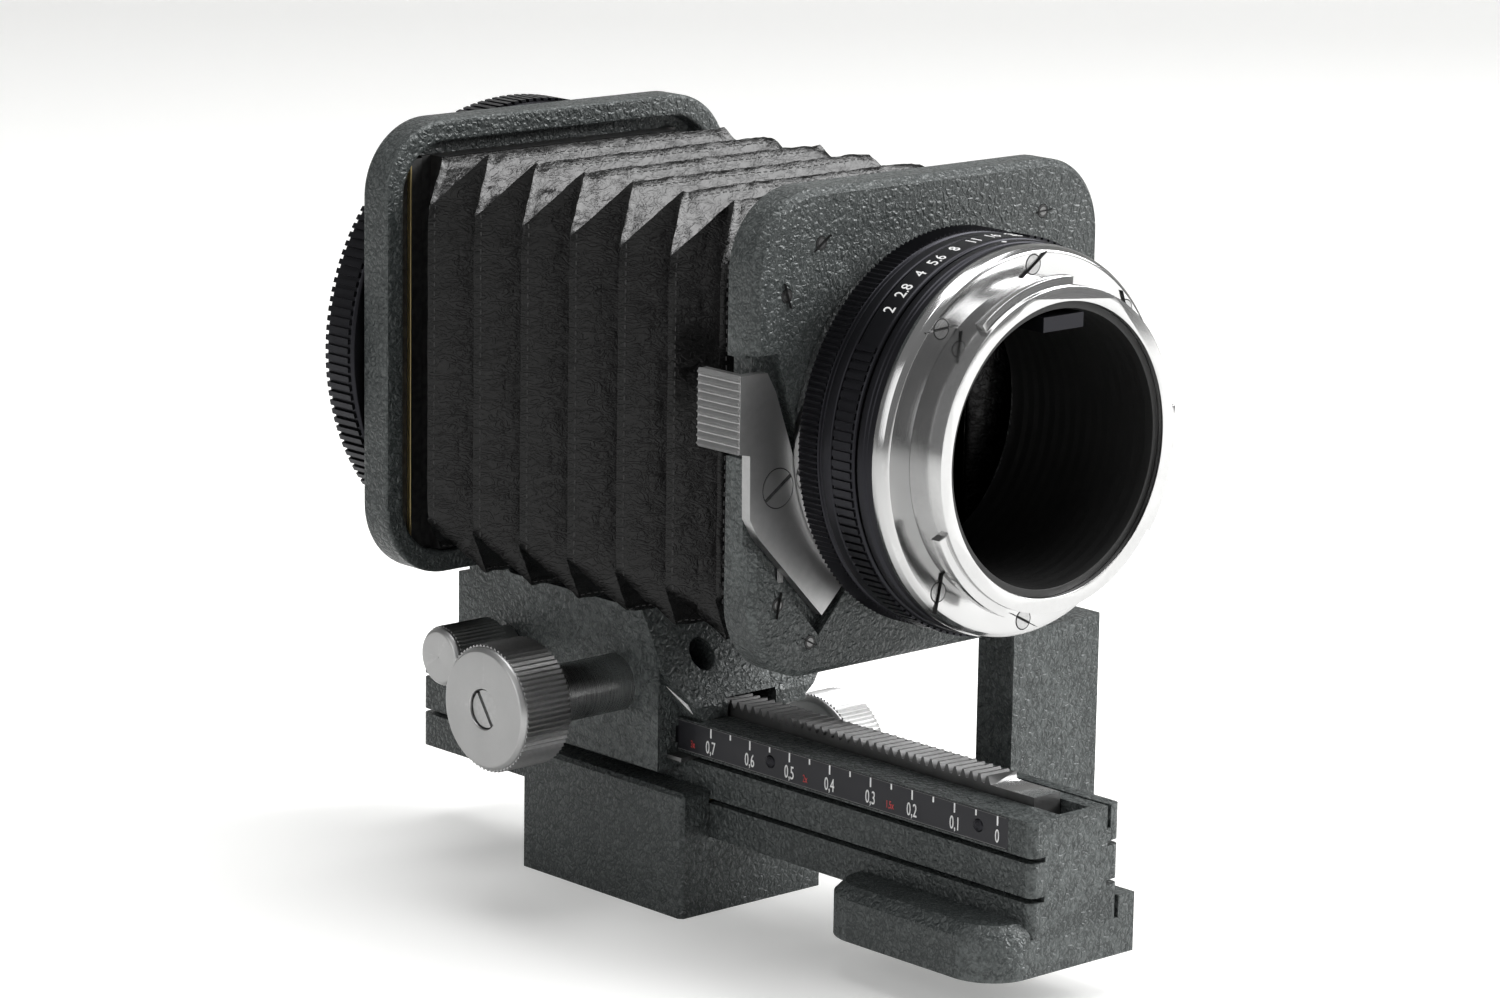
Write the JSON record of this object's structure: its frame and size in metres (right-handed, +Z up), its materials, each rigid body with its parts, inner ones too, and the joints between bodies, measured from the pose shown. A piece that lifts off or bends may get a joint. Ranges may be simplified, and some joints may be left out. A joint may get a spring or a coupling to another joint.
{
  "type": "macro bellows unit",
  "caption": "Macro bellows on a rack-and-pinion focusing rail with a clamping tripod block, fixed front plate, bayonet adapter and knurled rear ring.",
  "frame": {"origin": "middle of the tripod block's flat underside, on the tripod thread's axis", "axes": "+X right seen from the camera mount's side, +Y along the rail away from the bayonet, +Z up"},
  "size_m": [0.0872, 0.155, 0.1329],
  "materials": {
    "enamel": "hammertone enamel, semi-gloss",
    "leather": "glossy grained leather",
    "satin_chrome": "satin chrome",
    "bright_chrome": "bright turned chrome",
    "black_anodised": "black anodised",
    "scale_black": "black with white and red marks",
    "dark_steel": "dark steel",
    "brass": "brass"
  },
  "bodies": {
    "block": {"tripod_block": "enamel", "tripod_bush": "brass", "block_gibs": "brass", "clamp_shoe": "brass"},
    "block_clamp": {"clamp_screw": "satin_chrome", "clamp_knob": "satin_chrome"},
    "rail": {"rail": "enamel", "front_foot": "enamel", "foot_screws": "dark_steel", "rack": "dark_steel", "rack_screws": "dark_steel", "scale_plate": "scale_black", "scale_screws": "dark_steel", "front_standard": "enamel", "standard_screws": "dark_steel", "plate_set_screws": "dark_steel", "lever_spring": "dark_steel", "lever_pivot_screw": "satin_chrome", "lens_seat_ring": "bright_chrome", "bellows": "leather"},
    "lever": {"release_lever": "satin_chrome"},
    "adapter": {"adapter_barrel": "black_anodised", "step_ring": "black_anodised", "adapter_flange": "bright_chrome", "bayonet_rim": "bright_chrome", "flange_screws": "bright_chrome", "adapter_tube": "black_anodised", "aperture_cam": "bright_chrome"},
    "aperture": {"aperture_ring": "black_anodised"},
    "carriage": {"carriage": "enamel", "carriage_gibs": "brass", "lock_shoe": "brass", "pinion_sleeve": "satin_chrome", "rear_frame": "enamel", "bellows_rear_frame": "brass", "ring_carrier": "black_anodised"},
    "focus": {"pinion": "dark_steel", "pinion_shaft": "satin_chrome", "focus_knob": "satin_chrome", "focus_knob_screw": "bright_chrome"},
    "lock": {"lock_knob": "satin_chrome", "lock_shaft": "satin_chrome"},
    "ring": {"rear_ring": "black_anodised"}
  },
  "joints": [
    {"name": "rail_slide", "type": "slide", "parent": "block", "child": "rail", "axis": [0, 1, 0], "range_m": [-0.034, 0.03]},
    {"name": "block_clamp_turn", "type": "hinge", "parent": "block", "child": "block_clamp", "pos_m": [0.02, 0, 0.0156], "axis": [1, 0, 0], "range_deg": [0, 270]},
    {"name": "carriage_slide", "type": "slide", "parent": "rail", "child": "carriage", "axis": [0, 1, 0], "range_m": [-0.0745, 0.0255], "deforming": ["bellows"]},
    {"name": "focus_turn", "type": "hinge", "parent": "carriage", "child": "focus", "pos_m": [-0.03, -0.0019, 0.0378], "axis": [1, 0, 0], "range_deg": [-545, 1585]},
    {"name": "lock_turn", "type": "hinge", "parent": "carriage", "child": "lock", "pos_m": [-0.02, 0.0265, 0.0391], "axis": [1, 0, 0], "range_deg": [0, 90]},
    {"name": "rear_ring_turn", "type": "hinge", "parent": "carriage", "child": "ring", "pos_m": [0, 0.042, 0.0916], "axis": [0, 1, 0], "range_deg": [0, 60]},
    {"name": "release_lever_press", "type": "hinge", "parent": "rail", "child": "lever", "pos_m": [-0.03345, -0.062, 0.0847], "axis": [0, 1, 0], "range_deg": [0, 6], "stiffness_Nm_per_rad": 0.4, "springref_deg": -5.73},
    {"name": "adapter_twist", "type": "hinge", "parent": "rail", "child": "adapter", "pos_m": [0, -0.065, 0.0914], "axis": [0, 1, 0], "range_deg": [0, 45]},
    {"name": "aperture_turn", "type": "hinge", "parent": "adapter", "child": "aperture", "pos_m": [0, -0.0755, 0.0914], "axis": [0, 1, 0], "range_deg": [-30, 30]}
  ],
  "couplings": [
    {"joint": "focus_turn", "follows": "carriage_slide", "rad_per_m": -370.37}
  ]
}
